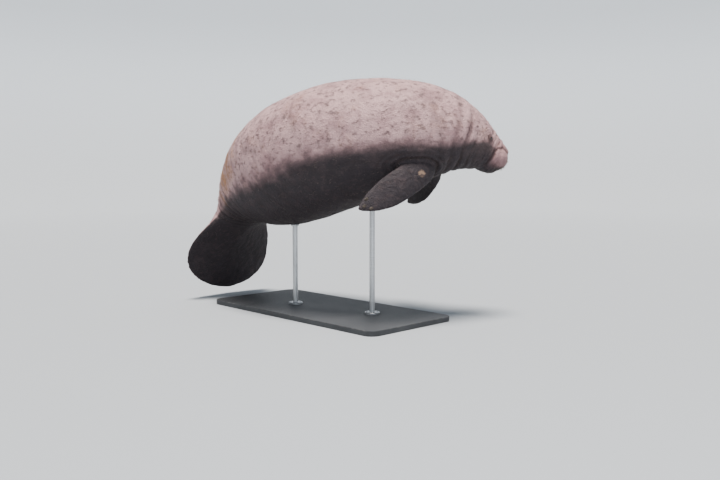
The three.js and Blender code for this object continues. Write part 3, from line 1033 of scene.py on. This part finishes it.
def hide_finish():
    """Thick bare skin: mottled pinkish brown, pale above in painted light and dark below in painted shade,
    with painted shade in its creases, a scar and tan algae.
    """
    hide = Finish("hide", roughness=0.6, specular_ior_level=0.35)
    body = hide.attribute("place", "Vector")
    back = hide.attribute("back")
    upper = hide.attribute("upper")
    limb = hide.attribute("limb")
    crease = hide.attribute("crease")
    station, side, _ = hide.parts(body)
    broad = hide.noise(body, 3.0, 3.0)
    patch = hide.noise(body, 11.0, 4.0, 0.6)
    blotch = hide.noise(body, 38.0, 4.0, 0.65)
    grain = hide.noise(body, 210.0, 3.0, 0.6)
    round_body = hide.stretched(hide.warped(body, 11.0, 0.05), (1.9, 1.0, 1.0))
    lines = hide.cells(round_body, 88.0, "DISTANCE_TO_EDGE")
    folds = hide.cells(round_body, 24.0, "DISTANCE_TO_EDGE")

    # Painted light and shade: pale above the shade line and dark below it, as overhead light leaves the
    # skin, less so on the tail and the flippers; the pale patches and flecks keep mostly to the lit side
    tail = hide.between(station, 1.95, 2.25)
    above = hide.between(upper + 0.26 * (broad - 0.5) + 0.18 * (patch - 0.5), -0.05, 0.29)
    above = above * (1 - 0.94 * limb) * (1 - 0.35 * tail)
    muzzle = 1 - hide.between(station, 0.10, 0.15)
    # Painted shade: darker still towards the belly, by how far round to the back each place lies
    flank = hide.between(back + (patch - 0.5), -0.7, 0.5) * (1 - 0.8 * limb)
    paler = hide.between(patch + 0.25 * above, 0.50, 0.85) * (0.04 + 0.66 * above)
    colour = hide.mix(SKIN_SHADED, SKIN_FLANK, flank)
    colour = hide.mix(colour, SKIN_BACK, above)
    colour = hide.mix(colour, SKIN_PALE, paler)
    colour = hide.mix(colour, SKIN_FLANK, hide.between(blotch, 0.50, 0.67) * (0.26 + 0.46 * above))
    colour = hide.mix(colour, SKIN_PALE, hide.between(grain, 0.58, 0.75) * (0.06 + 0.14 * above))
    # The muzzle keeps the back's colour down its sides: partly its own paler skin, partly painted light
    colour = hide.mix(colour, SKIN_BACK, muzzle * 0.90 * hide.between(back, -0.9, -0.3))

    right = 1 - hide.between(side, -0.10, 0.16)
    rump = hide.between(station + 0.5 * (broad - 0.5), 1.46, 1.72)
    rump = rump * (1 - hide.between(station, 1.94, 2.06)) * (0.25 + 0.75 * right)
    streaks = hide.noise(hide.stretched(body, (16.0, 5.0, 5.0)), 1.0, 4.0, 0.6)
    rust = rump * hide.between(back + 0.6 * (broad - 0.5), -0.30, 0.05)
    rust = rust * hide.between(streaks + 0.4 * patch, 0.52, 0.86)
    film = hide.between(hide.noise(body, 6.0, 5.0, 0.65), 0.52, 0.70) * above * 0.30
    colour = hide.mix(colour, ALGAE, (0.9 * rust + 0.5 * film) * hide.between(blotch + grain, 0.6, 1.1))

    off_scar = hide.distance(hide.warped(body, 40.0, 0.03), SCAR_PLACE)
    healed = 0.8 * hide.between(blotch, 0.48, 0.58)
    colour = hide.mix(colour, SCAR, (1 - hide.between(off_scar, 0.012, 0.026)) * (1 - healed))

    # Painted shade in the creases, round the eyes and in the nostrils, and along the fine wrinkle lines
    colour = hide.mix(colour, SKIN_CREASE_SHADE, crease * 0.55)
    colour = hide.mix(colour, SKIN_CREASE_SHADE, (1 - hide.between(lines, 0.0, 0.12)) * 0.14)

    pebble = hide.cells(body, 150.0)
    folded = hide.bump(folds ** 0.5, 0.0022)
    lined = hide.bump(lines ** 0.5, 0.0022, folded)
    rough = hide.bump(blotch, 0.006, lined)
    pitted = hide.bump(pebble * 0.6 + grain * 0.4, 0.0018, rough)
    hide.set(base_color=colour, roughness=0.50 + 0.20 * blotch + 0.12 * crease, normal=pitted)
    return hide.material


def eye_finish():
    """A dark brown iris round a black pupil, wet and clear."""
    eye = Finish("wet_eye", roughness=0.12, coat_weight=1.0, coat_roughness=0.02)
    angle = eye.attribute("angle")
    rays = eye.noise(eye.place(), 900.0, 3.0)
    iris = eye.mix((0.016, 0.009, 0.006), (0.036, 0.020, 0.011), eye.between(rays, 0.4, 0.6))
    colour = eye.mix((0.003, 0.003, 0.003), iris, eye.between(angle, 0.22, 0.27))
    eye.set(base_color=eye.mix(colour, (0.012, 0.008, 0.007), eye.between(angle, 0.58, 0.66)))
    return eye.material


def horn_finish():
    """Worn dull horn with darker growth lines and darker stains."""
    horn = Finish("horn", roughness=0.5)
    where = horn.place()
    rings = horn.noise(where, 320.0, 3.0, 0.6, 0.4)
    stain = horn.noise(where, 60.0, 3.0)
    colour = horn.mix((0.040, 0.031, 0.026), (0.105, 0.080, 0.062), horn.between(rings, 0.38, 0.66))
    colour = horn.mix(colour, (0.030, 0.024, 0.021), horn.between(stain, 0.48, 0.66) * 0.7)
    horn.set(base_color=colour, roughness=0.42 + 0.3 * stain, normal=horn.bump(rings, 0.0006))
    return horn.material


def bristle_finish():
    """Stiff horny hair, pale at some places and brown at others."""
    bristle = Finish("bristle", roughness=0.45)
    shade = bristle.noise(bristle.place(), 30.0, 2.0)
    colour = bristle.mix((0.150, 0.115, 0.090), (0.420, 0.350, 0.280), bristle.between(shade, 0.4, 0.62))
    bristle.set(base_color=colour)
    return bristle.material


def steel_finish():
    """Fine brushed steel, its marks running round the rod, with a few duller smears."""
    steel = Finish("brushed_steel", roughness=0.3, metallic=1.0)
    where = steel.place()
    brush = steel.noise(steel.stretched(where, (14.0, 14.0, 900.0)), 1.0, 3.0, 0.6)
    smear = steel.noise(where, 9.0, 4.0, 0.6)
    colour = steel.mix((0.50, 0.51, 0.52), (0.62, 0.63, 0.64), steel.between(brush, 0.35, 0.65))
    colour = steel.mix(colour, (0.40, 0.41, 0.42), steel.between(smear, 0.55, 0.75) * 0.5)
    dullness = 0.24 + 0.16 * brush + 0.14 * smear
    steel.set(base_color=colour, roughness=dullness, normal=steel.bump(brush, 0.0002))
    return steel.material


BOARD_PAINT = (0.050, 0.052, 0.056)


def board_finish(half_length, half_width, top):
    """Charcoal paint with a rolled surface, worn a little paler along the top edges, partly as a painted
    highlight.
    """
    board = Finish("painted_board", colour=BOARD_PAINT, roughness=0.5)
    where = board.place()
    x, y, z = board.parts(where)
    to_edge = board.greater(board.size_of(x) - half_length, board.size_of(y) - half_width)
    rolled = board.noise(where, 420.0, 2.0, 0.5)
    cloud = board.noise(where, 4.0, 4.0, 0.6)
    wear = board.between(board.noise(where, 55.0, 3.0, 0.7), 0.48, 0.66)
    # Paler top edges: partly worn paint, partly painted highlight
    worn_and_highlit = wear * board.between(to_edge, -0.006, -0.001)
    colour = board.mix(BOARD_PAINT, (0.070, 0.072, 0.076), board.between(cloud, 0.4, 0.7))
    colour = board.mix(colour, (0.150, 0.148, 0.145), worn_and_highlit * board.between(z, top - 0.008, top) * 0.7)
    board.set(base_color=colour, roughness=0.42 + 0.22 * cloud, normal=board.bump(rolled, 0.0007))
    return board.material


# The floor and the light


def floor_finish():
    """A plain pale floor; its far wall glows a little, so that it doesn't darken as it rises."""
    floor = Finish("floor", colour=(0.42, 0.44, 0.46), roughness=0.95, emission_strength=0.42)
    _, _, height = floor.parts(floor.place())
    glow = floor.between(height, 0.0, 5.0)
    floor.set(emission_color=floor.mix((0.0, 0.0, 0.0), (0.80, 0.86, 0.92), glow))
    return floor.material


FLOOR_RADIUS = 14
FLOOR_STEPS = 96
WALL_HEIGHT = 12
WALL_ROUND = 6
ROOM_COLOUR = (0.78, 0.88, 1.0, 1)
ROOM_STRENGTH = 0.30


def make_stage():
    """A pale round floor that curves up into a wall far off, so that every view has plain ground."""
    outline = [(0, 0), (FLOOR_RADIUS, 0)]
    for degrees in range(10, 91, 10):
        angle = math.radians(degrees)
        outline.append((FLOOR_RADIUS + WALL_ROUND * math.sin(angle), WALL_ROUND * (1 - math.cos(angle))))
    outline.append((FLOOR_RADIUS + WALL_ROUND, WALL_HEIGHT))
    floor = add_piece("floor", mesh_of("floor", turned(outline, FLOOR_STEPS)))
    floor.data.materials.append(floor_finish())
    world = bpy.data.worlds.new("room")
    bpy.context.scene.world = world
    world.use_nodes = True
    background = world.node_tree.nodes["Background"]
    background.inputs["Color"].default_value = ROOM_COLOUR
    background.inputs["Strength"].default_value = ROOM_STRENGTH


def add_lamp(name, kind, place, aim, power, colour, size):
    """A round area lamp a given distance across, or a sun a given angle across."""
    lamp = bpy.data.objects.new(name, bpy.data.lights.new(name, kind))
    bpy.context.scene.collection.objects.link(lamp)
    if kind == "SUN":
        lamp.data.angle = size
    else:
        lamp.data.shape = "DISK"
        lamp.data.size = size
    lamp.data.energy = power
    lamp.data.color = colour
    lamp.location = place
    lamp.rotation_euler = (Vector(aim) - Vector(place)).to_track_quat("-Z", "Y").to_euler()


make_stage()
bpy.context.scene.view_settings.look = "AgX - Medium High Contrast"
add_lamp("overhead", "SUN", (0.5, -0.5, 4.2), (0, 0, 1), 5.2, (1, 0.95, 0.90), math.radians(20))
add_lamp("front", "AREA", (4.2, -3.0, 1.8), (0, 0, 0.9), 40, (0.85, 0.92, 1), 3.0)

# What each piece is made of

steel = steel_finish()
for pieces, finish in (
    ([skin], hide_finish()),
    (eyes, eye_finish()),
    (nails, horn_finish()),
    (hairs, bristle_finish()),
    (fittings, steel),
):
    for piece in pieces:
        piece.data.materials.clear()
        piece.data.materials.append(finish)
for node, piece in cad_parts.items():
    if node.startswith(("stand_rod", "stand_flange")):
        piece.material_slots[0].material = steel
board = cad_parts["stand_base"]
_, (board_x, board_y, board_z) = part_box("stand_base")
board.material_slots[0].material = board_finish(board_x, board_y, board_z)
